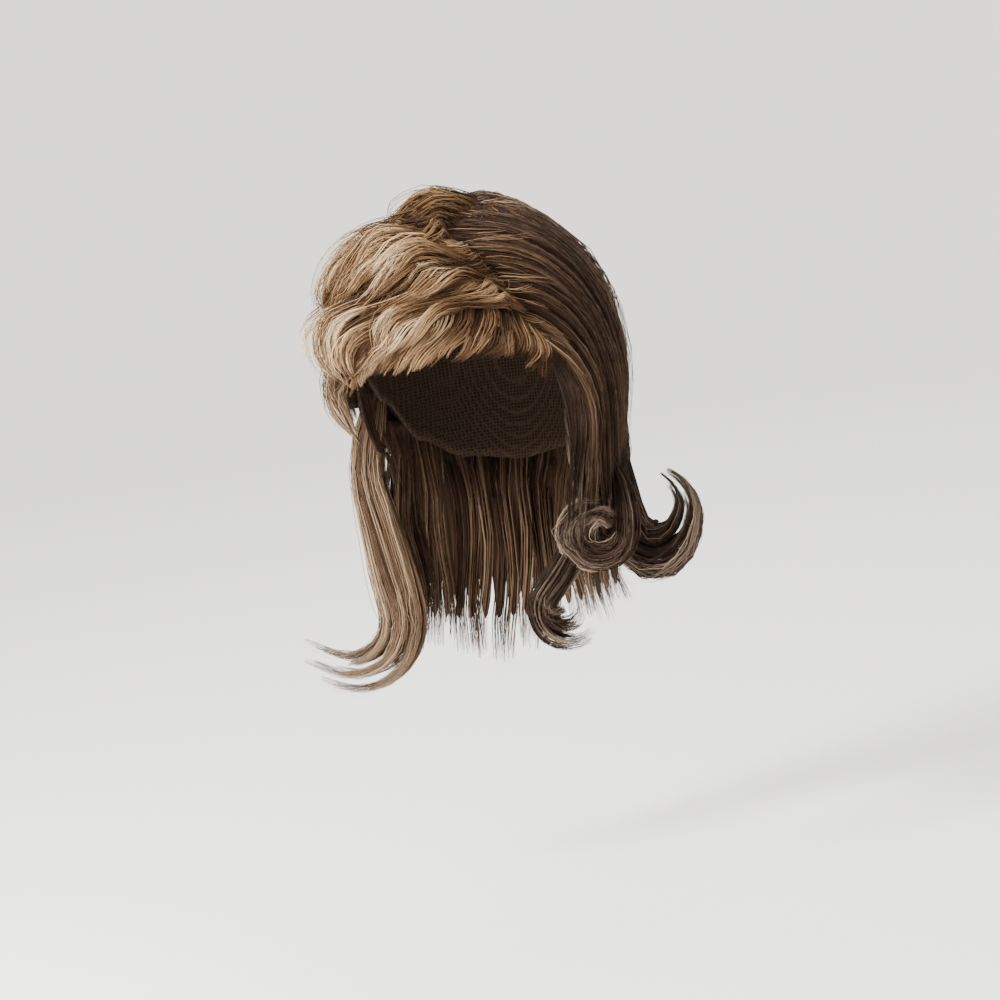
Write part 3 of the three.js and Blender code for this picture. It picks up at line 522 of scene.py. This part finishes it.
def lay_strands(form, mass, rng, n):
    """Paths for n strands of a mass, and their thickness, tone and stray along them.

    A strand starts at random in its lock, rises off the core at its root, is drawn with its
    neighbours into a wisp and with the lock to a point, and follows the lock's waves."""
    middle, deep = form
    locks, round_form = mass["locks"], mass["round"]
    lock_a, lock_b, start, end = lock_table(rng, mass)
    lock_draw = rng.uniform(-1, 1, (len(lock_a), 6))
    wisp_draw = rng.uniform(-1, 1, (len(lock_a) * WISPS, 4))
    draw = rng.random((n, 9))
    lock = (draw[:, 0] * len(lock_a)).astype(int)
    wisp = lock * WISPS + (draw[:, 1] * WISPS).astype(int)
    mine, near = lock_draw[lock], wisp_draw[wisp]
    side = 2 * draw[:, 1] - 1  # where in the lock, from one edge to the other
    wisp_side = 2 * ((draw[:, 1] * WISPS).astype(int) + 0.5) / WISPS - 1
    sunk = mass["depth"] * draw[:, 2] ** 1.5

    # How far along: each strand starts late or early, and ends short of its lock
    early = start[lock] + mass["spread"] * draw[:, 3] ** 2 - mass["early"] * draw[:, 4]
    late = end[lock] - LATE_STRAY * draw[:, 5] ** 3 - WISP_STRAY * near[:, 0]
    t = np.linspace(0, 1, mass["points"])[None]
    v = mix(early[:, None], late[:, None], t)

    narrow = mass["gather"] * smooth((t - POINT_FROM) / (1 - POINT_FROM))
    bunch = mix(side[:, None], wisp_side[:, None], WISP_DRAW * smooth(2 * t))
    bunch = bunch * (1 - LOCK_DRAW * narrow)
    if round_form:
        turn = 2 * math.pi * (lock % locks + 0.5 * side) / locks
        reach = (1 - sunk)[:, None] * mix(ROPE_ROOT, 1, smooth(t / mass["lift_off"]))
        at_a = mix(reach * np.cos(turn)[:, None], lock_a[lock][:, None], narrow)
        at_b = mix(reach * np.sin(turn)[:, None], lock_b[lock][:, None], narrow)
        at_a = at_a + WISP_SHIFT * near[:, 1][:, None] * t
        at_b = at_b + WISP_SHIFT * near[:, 2][:, None] * t
    else:
        at_a = lock_a[lock][:, None] + LOCK_SPAN * bunch / locks
        top = 1 - mass["ridge"] * side ** 2 - sunk
        point = lock_b[lock] + POINT_DEPTH * (top - lock_b[lock])
        at_b = mix(top[:, None], point[:, None], narrow)
        at_b = at_b + WISP_HEIGHT * near[:, 1][:, None] * smooth(2 * t)
        if mass["both_sides"]:
            at_b = at_b * np.where(draw[:, 6] < 0.5, -1, 1)[:, None]
        root = 0 if mass["both_sides"] else ROOT_SINK
        at_b = mix(root, at_b, smooth(t / mass["lift_off"]))
        at_b = at_b + mass["flick"] * (0.35 + 0.65 * mine[:, 0])[:, None] * t ** 2.5
    if mass["swelling"]:
        at_b = at_b * along(SWELL, v)
    # A few strands stand off the rest
    loose = draw[:, 7] < mass["loose"]
    at_b = at_b + np.where(loose, mix(FLYAWAY_LIFT, 1, draw[:, 8]), 0)[:, None] * smooth(1.5 * t)

    lean = mass["slant"] * lock_a[lock] + LOCK_PHASE * mine[:, 1] + WISP_PHASE * near[:, 2]
    swing = np.sin(2 * math.pi * (mass["waves"] * v + lean[:, None])) * smooth(t / WAVE_FROM)
    at_a = at_a + (mass["swing"] * swing + mass["hook"] * mine[:, 2][:, None] * t ** 3) / locks
    u = 0.5 + at_a / 2
    paths = sample(middle, u, v) + at_b[..., None] * sample(deep, u, v)
    behind = lean + 0.25 + SWAY_PHASE * mine[:, 3]  # a quarter turn, so that a lock winds as it waves
    sway = np.sin(2 * math.pi * (mass["waves"] * v + behind[:, None]))
    out = unit(sample(deep, u, v))
    paths = paths + out * (mass["wave"] * sway * smooth(t / WAVE_FROM))[..., None]

    thick = (0.75 + 0.5 * draw[:, 6])[:, None] * (1 - TIP_TAPER * smooth((t - 0.5) / 0.5))
    shade = mass["tone"] + mass["vary"] * mine[:, 4] + WISP_TONE * near[:, 3]
    # Strands sunk deeper in their lock are darker: painted shade
    shade = shade + STRAND_TONE * (draw[:, 5] - 0.5) - DEPTH_PAINTED_SHADE * sunk
    # Darker towards one side of the mass, the side the key light leaves in shade: painted shade
    shade = shade - abs(mass["dim"]) * smooth(2 * np.sign(mass["dim"]) * lock_a[lock])
    # Crests of the sway are lighter and its troughs darker: painted highlight and painted shade
    tone = np.clip(shade[:, None] + mass["pale_tips"] * t ** 2 + mass["crest"] * sway, 0, 1)
    stray = np.where(loose, FLYAWAY_STRAY, 0.6 + 0.8 * draw[:, 8])[:, None] + 0 * t
    return paths, {"thick": thick, "tone": tone, "stray": stray, "along": t + 0 * v}


CORE_ROWS, CORE_AROUND, COLUMNS_PER_LOCK = 22, 24, 6
FADE_FROM, FADE_TO = 0.4, 0.08  # where along it a core starts to thin, and to what share
CORE_RIDGE = 0.08
CORE_UNDERSIDE, CORE_ROOT, CORE_LEAST = 0.9, 0.2, 0.04


def lay_core(name, form, mass):
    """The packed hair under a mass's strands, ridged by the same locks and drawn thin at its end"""
    middle, deep = form
    locks = mass["locks"]
    v = np.linspace(0, mass["core_end"], CORE_ROWS)[:, None]
    fade = 1 - smooth((v / mass["core_end"] - FADE_FROM) / (1 - FADE_FROM))
    if mass["round"]:
        turn = 2 * math.pi * np.arange(CORE_AROUND)[None] / CORE_AROUND
        reach = mass["core"] * (1 + CORE_RIDGE * np.cos(locks * turn)) * mix(FADE_TO, 1, fade)
        reach = reach * mix(CORE_ROOT, 1, smooth(v / mass["lift_off"]))
        a, b = reach * np.cos(turn), reach * np.sin(turn)
        u = 0.5 + a / 2
        v = np.broadcast_to(v, (CORE_ROWS, CORE_AROUND))
        rings = sample(middle, u, v) + b[..., None] * sample(deep, u, v)
        uv = np.stack(np.broadcast_arrays(turn / (2 * math.pi), v), -1)
        return closed_tube(name, rings, uv)
    u = np.linspace(0, 1, COLUMNS_PER_LOCK * locks + 1)[None]
    edge = 2 * (u * locks - np.minimum(np.floor(u * locks), locks - 1)) - 1
    swell = along(SWELL, v) if mass["swelling"] else 1
    top = (mass["core"] - mass["ridge"] * edge ** 2) * swell * fade
    under = mass["core"] if mass["both_sides"] else CORE_UNDERSIDE
    bottom = -under * swell * fade - CORE_LEAST
    flat = np.stack(np.broadcast_arrays(u, v * (1 - mass["notch"] * edge ** 2)), -1)
    u, v = flat[..., 0], flat[..., 1]
    spine, half = sample(middle, u, v), sample(deep, u, v)
    outer, inner = spine + top[..., None] * half, spine + bottom[..., None] * half
    rings = np.concatenate([outer, inner[:, ::-1]], axis=1)
    return closed_tube(name, rings, np.concatenate([flat, flat[:, ::-1]], axis=1), flat=True)


# ---- The masses. Colours run from the root, which also gives the painted shade in a lock's depths, to its lightest strands.
BLOND = ("#221911", "#583f2b", "#9f7d5b", "#efdab6")
WARM = ("#2a1e15", "#6b4f38", "#b38f6a", "#efd9b4")
BROWN = ("#1b130f", "#423026", "#79604b", "#cbb294")
# Dark brown, darker than BROWN for the masses on the wearer's left, which the key light leaves in shade:
# partly the fibre's own colour and partly painted shade
DARK_BROWN_AND_SHADE = ("#100b09", "#261b15", "#483830", "#ab9780")

# What a mass has unless it says otherwise. Lengths (wave, width, frizz, frizz_length) are in millimetres,
# hook and swing in lock widths, and the rest are shares.
COMMON = {
    # The form: a rope or a sheet, seen from both sides or one, and swollen in its middle or even
    "round": False, "both_sides": False, "swelling": True,
    # Its locks: rows of them, how far apart the rows start, how far all of them reach, how unevenly
    # they end, how they hook at their ends and lean with their place across
    "layers": 1, "rise": 0, "reach": 1, "trim": 0.12, "hook": 0, "slant": 0.6,
    # A lock: its rounding, the depth that strands lie down to, how far they are drawn together, how
    # soon they leave the root, and how the tips flick outwards
    "ridge": 0.5, "depth": 0.6, "gather": 0.8, "lift_off": 0.12, "flick": 0,
    # Where strands start, late and early, and the share of them that stands off
    "spread": 0.12, "early": 0, "loose": 0.03,
    # Waves: their number, and how far they go outwards and sideways
    "waves": 1.4, "wave": 1.5, "swing": 0.35,
    # Tone, from 0 at the root's colour to 1 at the lightest: a mass's own, what tips add, painted
    # highlight on wave crests and painted shade in troughs, painted shade towards one side, and how much
    # locks differ
    "tone": 0.5, "pale_tips": 0.12, "crest": 0.06, "dim": 0, "vary": 0.2,
    # The core under the strands: its share of the depth, where it ends, and how far it is notched between
    # locks
    "core": 0.45, "core_end": 0.75, "notch": 0.12,
    # A strand: its width, and the reach and length of its frizz
    "width": 0.55, "frizz": 1.6, "frizz_length": 22}


def mass(name, form, slot, colors, **own):
    return {**COMMON, "name": name, "forms": form if isinstance(form, list) else [form], "slot": slot,
            "colors": colors, **own}


def coils(sections, width, sweep, start, end, lean, inner):
    """A curl's rope, and the smaller coils inside it, each with its share of the radii and the width"""
    return [rope(sections, width * broad, 0, sweep, start * tight, end * tight, lean * creep)
            for tight, broad, creep in [(1, 1, 1), *inner]]


MASSES = [
    mass("crown_hair", sheet_over_head(CROWN, CROWN_LOFT, CROWN_LOCK), "hair_brown", BROWN, seed=11,
         strands=3100, points=9, locks=26, swelling=False, spread=0.25, early=0.06, trim=0.06,
         wave=0.8, depth=0.7, tone=0.4, vary=0.1, core=0.35, core_end=0.95, gather=0.4,
         notch=0.05, loose=0.04, dim=-0.14),
    mass("top_waves", sheet_over_head(TOP, TOP_LOFT, TOP_LOCK), "hair_light", BLOND, seed=12,
         strands=2700, points=11, locks=10, layers=3, rise=0.5, wave=5.2, waves=2.4, swing=1.2,
         flick=0.7, hook=2.0, early=0.05, loose=0.12, core_end=0.8, width=0.48, tone=0.42,
         pale_tips=0.2, crest=0.16),
    mass("fringe", sheet_over_head(FRINGE, FRINGE_LOFT, FRINGE_LOCK), "hair_blond", WARM, seed=13,
         strands=1700, points=8, locks=13, layers=2, rise=0.25, wave=0.8, trim=0.3, ridge=0.4,
         flick=0.5, hook=1.2, gather=0.5, core=-0.2, core_end=0.5, width=0.42, tone=0.5,
         dim=0.35),
    mass("side_right", sheet_over_head(SIDE_RIGHT, SIDE_LOFT, SIDE_LOCK), "hair_blond", BROWN, seed=14,
         strands=1050, points=7, locks=8, layers=2, rise=0.3, wave=1.2, trim=0.15, flick=0.5, hook=0.8,
         tone=0.42, pale_tips=0.3),
    mass("side_left", sheet_over_head(SIDE_LEFT, SIDE_LOFT, SIDE_LOCK), "hair_dark", DARK_BROWN_AND_SHADE, seed=15,
         strands=1000, points=7, locks=7, wave=1.0),
    mass("tail_right", rope(TAIL_RIGHT, TAIL_WIDTH, -20, -145, FLICK_RADIUS, 2.4 * FLICK_RADIUS, 14),
         "hair_blond", BROWN, seed=16, round=True, strands=1000, points=14, locks=7, wave=0.6,
         trim=0.16, core=0.6, gather=0.6, core_end=0.88, tone=0.46, pale_tips=0.2),
    mass("tail_left", rope(TAIL_LEFT, LEFT_WIDTH, 65), "hair_dark", DARK_BROWN_AND_SHADE, seed=17, round=True,
         strands=1000, points=7, locks=9, wave=1.0, trim=0.25, core=0.6, gather=0.7, spread=0.2),
    mass("back_hair", sheet_hanging(BACK, BACK_LOCK), "hair_brown", BROWN, seed=18, both_sides=True,
         strands=1900, points=7, locks=18, swelling=False, trim=0.16, wave=2.6, swing=0.6, depth=0.5,
         core=0.35, ridge=0.3, core_end=0.82, notch=0.22, gather=0.3, tone=0.4, loose=0.05),
    mass("curl_ring", coils(CURL_RING, CURL_WIDTH, -320, 0.85 * CURL_RADIUS, 0.7 * CURL_RADIUS, 12,
                            [(1.25, 0.6, 0.6), (0.75, 0.7, 1.5), (0.45, 0.6, 0.4)]),
         "hair_brown", DARK_BROWN_AND_SHADE, seed=19, round=True, strands=800, points=14, locks=5, wave=1.2, waves=2.2,
         trim=0.12, core=0.4, gather=0.45, tone=0.5, pale_tips=0.3, loose=0.14, frizz=3.2),
    mass("curl_outer", rope(CURL_OUTER, CURL_WIDTH, 0), "hair_blond", DARK_BROWN_AND_SHADE, seed=20, round=True,
         strands=800, points=13, locks=9, wave=1.2, trim=0.34, core=0.3, gather=0.75, tone=0.54,
         pale_tips=0.2, loose=0.12, frizz=2.6),
    mass("curl_front", coils(CURL_FRONT, CURL_WIDTH, 200, 0.9 * CURL_RADIUS, 0.9 * CURL_RADIUS, 6,
                             [(0.6, 0.8, 0.5), (0.3, 0.6, 1.2)]),
         "hair_brown", DARK_BROWN_AND_SHADE, seed=21, round=True, strands=640, points=12, locks=5, wave=0.5, trim=0.2,
         core=0.5, gather=0.4, tone=0.56, loose=0.06),
]

TINTS = {"light_blonde": BLOND, "warm_blonde": WARM, "brown": BROWN, "dark_brown_and_shade": DARK_BROWN_AND_SHADE}
SHADES = {}
for tint, colors in TINTS.items():
    SHADES[colors] = (strand_material("modacrylic_fibre_" + tint, *colors),
                      core_material("shaded_packed_fibre_" + tint, *colors[:3]))


def hair(m):
    """The strands of a mass, shared among its forms"""
    rng = np.random.default_rng(m["seed"])
    laid = [lay_strands(form, m, rng, m["strands"] // len(m["forms"])) for form in m["forms"]]
    paths = np.concatenate([paths for paths, _ in laid])
    attributes = {key: np.concatenate([values[key] for _, values in laid]) for key in laid[0][1]}
    return swept(m, paths, SHADES[m["colors"]][0], **attributes)


for each in MASSES:
    fibre, packed = SHADES[each["colors"]]
    core = lay_core(each["name"] + "_core", each["forms"][0], each)
    new_piece(each["name"] + "_core", core, packed)
    new_piece(each["name"] + "_strands", hair(each), fibre, each["name"])


# ---- The even layer over the cap, with its own strands, and the cap
def rim_down(az):
    side = np.abs((az + 180) % 360 - 180)
    i = np.clip(np.searchsorted(RIM["az"], side), 1, len(RIM["az"]) - 1)
    low, high = np.array(RIM["az"])[i - 1], np.array(RIM["az"])[i]
    down = np.array(RIM["down"])
    return mix(down[i - 1], down[i], smooth((side - low) / (high - low)))


PER_MM = 1 / (CROWN_HEIGHT * QUARTER)
AROUND_HEAD, DOWN_HEAD = 96, 32


def shell(name, edge, outer, inner):
    """A closed shell over the head, down to an edge, between two lifts that are functions of az and
    share of the way down"""
    az = np.linspace(0, 360, AROUND_HEAD, endpoint=False)[None]
    share = np.linspace(0, 1, DOWN_HEAD + 1)[1:, None]
    down = share * edge(az)
    outside = over(az, down, outer(az, share))
    inside = over(az, down, inner(az, share))[::-1]
    uv = np.stack(np.broadcast_arrays(az / 360, share), -1)
    return closed_tube(name, np.concatenate([outside, inside]), np.concatenate([uv, uv[::-1]]))


def base_lift(az, share):
    turn = (np.asarray(az, float) % 360) / 360
    crown, middle, edge = (along(BASE[key], turn) for key in ("crown", "middle", "edge"))
    table = np.stack(np.broadcast_arrays(crown, middle, edge))
    lifts = [along(table[:, 0, k], share[:, 0]) for k in range(table.shape[2])]
    return BASE_LOFT * np.stack(lifts, 1)


def base_edge(az):
    return rim_down(az) - (HEM_HEIGHT + 2 * CLEARANCE) * PER_MM


def base_floor(az, share):
    return CAP_WALL + 2 * CLEARANCE + 0 * share * az


# The even layer takes the darkest packed fibre: a dark sheet painted as the shade under the crown's
# strands
new_piece("crown_hair_base", shell("crown_hair_base", base_edge, base_lift, base_floor),
          SHADES[DARK_BROWN_AND_SHADE][1])


NEAR_CROWN, OVERHANG = 0.1, 0.12  # where the even layer's strands start, and how far past it they end
UNDER_LIFT = 2  # of those strands over the even layer


def combed_down(first, last, guides, rows):
    """Guides that run straight down over the even layer, from near the crown to past its edge"""
    table = []
    for az in np.linspace(first, last, guides):
        end = float(base_edge(np.array(az))) + OVERHANG
        turn = (az % 360) / 360
        lift = [along(BASE[key], np.array(turn)) for key in ("crown", "middle", "edge")]
        table.append([(az, mix(NEAR_CROWN, end, s), float(along(lift, np.array(s)))) for s in rows])
    return table


UNDER = sheet_over_head(combed_down(48, 312, 12, np.linspace(0, 1, 5)), BASE_LOFT + UNDER_LIFT, MIN_LOCK)
LOOSE_HAIR = [
    mass("crown_hair_under", UNDER, "hair_brown", BROWN, seed=23, strands=1900, points=7, locks=40,
         layers=2, rise=0.3, swelling=False, spread=0.15, early=0.06, trim=0.05, gather=0.3, wave=0.5,
         flick=0.4, tone=0.38),
    # Short pale strands spring from the dark root line
    mass("root_wisps", sheet_over_head(CROWN[:4], CROWN_LOFT, CROWN_LOCK), "hair_light", BLOND,
         seed=24, strands=150, points=8, locks=22, reach=0.34, trim=0.4, swelling=False,
         early=0.06, gather=0.2, lift_off=0.4, flick=1.8, hook=4, wave=0.6, tone=0.5, width=0.4,
         frizz=3),
]
for each in LOOSE_HAIR:
    new_piece(each["name"], hair(each), SHADES[each["colors"]][0])


def net_lift(az, share):
    hem = smooth((share * rim_down(az) - rim_down(az) + HEM_HEIGHT * PER_MM) / (HEM_EXTRA * PER_MM))
    return CAP_WALL + HEM_EXTRA * hem


NET_PITCH = 2.2  # of the cap's net, drawn coarser than the real 1 mm so that it shows
NET_STRAY, NET_ROUGHNESS = 0.25, 0.85


def net_material():
    """Warp-knitted nylon net: matt, with small open meshes that read as a fine dark grid"""
    material, tree, shader = new_material("warp_knit_nylon_net")
    place = add(tree, "ShaderNodeTexCoord")
    meshes = add(tree, "ShaderNodeTexVoronoi", {"Vector": place.outputs["Object"],
                 "Scale": 1 / (NET_PITCH * MM), "Randomness": NET_STRAY}, feature="DISTANCE_TO_EDGE")
    color = add(tree, "ShaderNodeValToRGB", {"Fac": meshes.outputs["Distance"]})
    ramp(color, [(0.0, "#3c2e25"), (0.22, "#241b15"), (0.5, "#130e0b")])
    bump = add(tree, "ShaderNodeBump", {"Height": meshes.outputs["Distance"], "Strength": 0.7,
               "Distance": 0.4 * MM}, invert=True)
    tree.links.new(color.outputs[0], shader.inputs["Base Color"])
    tree.links.new(bump.outputs[0], shader.inputs["Normal"])
    shader.inputs["Roughness"].default_value = NET_ROUGHNESS
    shader.inputs["Specular IOR Level"].default_value = SHEEN
    return material


new_piece("stretch_cap", shell("stretch_cap", rim_down, net_lift, lambda az, share: 0 * az * share),
          net_material(), "wig_cap")

# ---- The studio: a pale floor, a soft key from the image's left and a weak fill
VIEW_AZ, VIEW_EL, VIEW_ROLL = 15, 8, 8
DISTANCE, FRAME_WIDTH = 2000, 656
CENTRE = (28.9, -181.7)  # of the frame from the origin, across and up the image
SENSOR = 36

FAR_CLIP = 50


def direction(az, el):
    """The way out from the wig towards an azimuth and an elevation, in degrees"""
    turn, rise = math.radians(az), math.radians(el)
    return Vector((math.sin(turn) * math.cos(rise), -math.cos(turn) * math.cos(rise), math.sin(rise)))


def place_camera():
    """The photo's view: from the front, a little to the wearer's left and above, leaning to the left"""
    toward = direction(VIEW_AZ, VIEW_EL)
    level = direction(VIEW_AZ + 90, 0)
    upright = toward.cross(level)
    roll = math.radians(VIEW_ROLL)
    right = level * math.cos(roll) - upright * math.sin(roll)
    up = level * math.sin(roll) + upright * math.cos(roll)
    lens = bpy.data.cameras.new("camera")
    lens.sensor_width = SENSOR
    lens.lens = SENSOR * DISTANCE / FRAME_WIDTH
    lens.clip_end = FAR_CLIP
    camera = bpy.data.objects.new("camera", lens)
    camera.matrix_world = Matrix((right, up, toward)).transposed().to_4x4()
    camera.location = (right * CENTRE[0] + up * CENTRE[1] + toward * DISTANCE) * MM
    bpy.context.scene.collection.objects.link(camera)
    bpy.context.scene.camera = camera


place_camera()
TARGET = Vector((0, 0, -0.13))  # the middle of the wig, which the lights face


def soft_light(name, az, el, distance, size, power):
    way = direction(az, el)
    lamp = bpy.data.lights.new(name, "AREA")
    lamp.shape = "DISK"
    lamp.size = size
    lamp.energy = power
    light = bpy.data.objects.new(name, lamp)
    light.location = TARGET + way * distance
    light.rotation_euler = way.to_track_quat("Z", "Y").to_euler()
    bpy.context.scene.collection.objects.link(light)


soft_light("key", -42, 34, 1.5, 0.5, 66)
soft_light("fill", 60, 10, 2.2, 1.2, 5)
soft_light("back", 200, 45, 1.8, 0.9, 8)

AMBIENT = 2.0
world = bpy.data.worlds.new("studio")
world.use_nodes = True
world.node_tree.nodes["Background"].inputs["Color"].default_value = linear("#f4f4f2")
world.node_tree.nodes["Background"].inputs["Strength"].default_value = AMBIENT
bpy.context.scene.world = world

FLOOR_DROP, FLOOR_MIDDLE, FLOOR_REACH, COVE, WALL_HEIGHT = 460, 800, 3500, 1800, 3200
COVE_ROWS, FLOOR_STEP = 12, 5
PAINT_ROUGHNESS = 0.9


def lay_floor():
    """A round matt white floor that sweeps up into a wall"""
    bend = np.linspace(0, QUARTER, COVE_ROWS)
    reach = np.concatenate([[FLOOR_MIDDLE], FLOOR_REACH + COVE * np.sin(bend), [FLOOR_REACH + COVE]])
    height = np.concatenate([[0], COVE * (1 - np.cos(bend)), [WALL_HEIGHT]]) - FLOOR_DROP
    turn = np.radians(np.arange(0, 360, FLOOR_STEP))[None]
    reach, height = reach[:, None], height[:, None]
    cove = np.stack(np.broadcast_arrays(reach * np.cos(turn), reach * np.sin(turn), height), -1)
    rings, around = cove.shape[:2]
    at = np.arange(rings * around).reshape(rings, around)
    beside = np.roll(at, -1, axis=1)
    faces = np.stack([at[:-1], at[1:], beside[1:], beside[:-1]], -1).reshape(-1, 4).tolist()
    mesh = new_mesh("floor", cove, faces + [at[0].tolist()])
    for face in mesh.polygons:
        face.use_smooth = True
    paint, _, shader = new_material("matt_white_floor")
    shader.inputs["Base Color"].default_value = linear("#faf9f6")
    shader.inputs["Roughness"].default_value = PAINT_ROUGHNESS
    mesh.materials.append(paint)
    floor = bpy.data.objects.new("floor", mesh)
    bpy.context.scene.collection.objects.link(floor)


lay_floor()
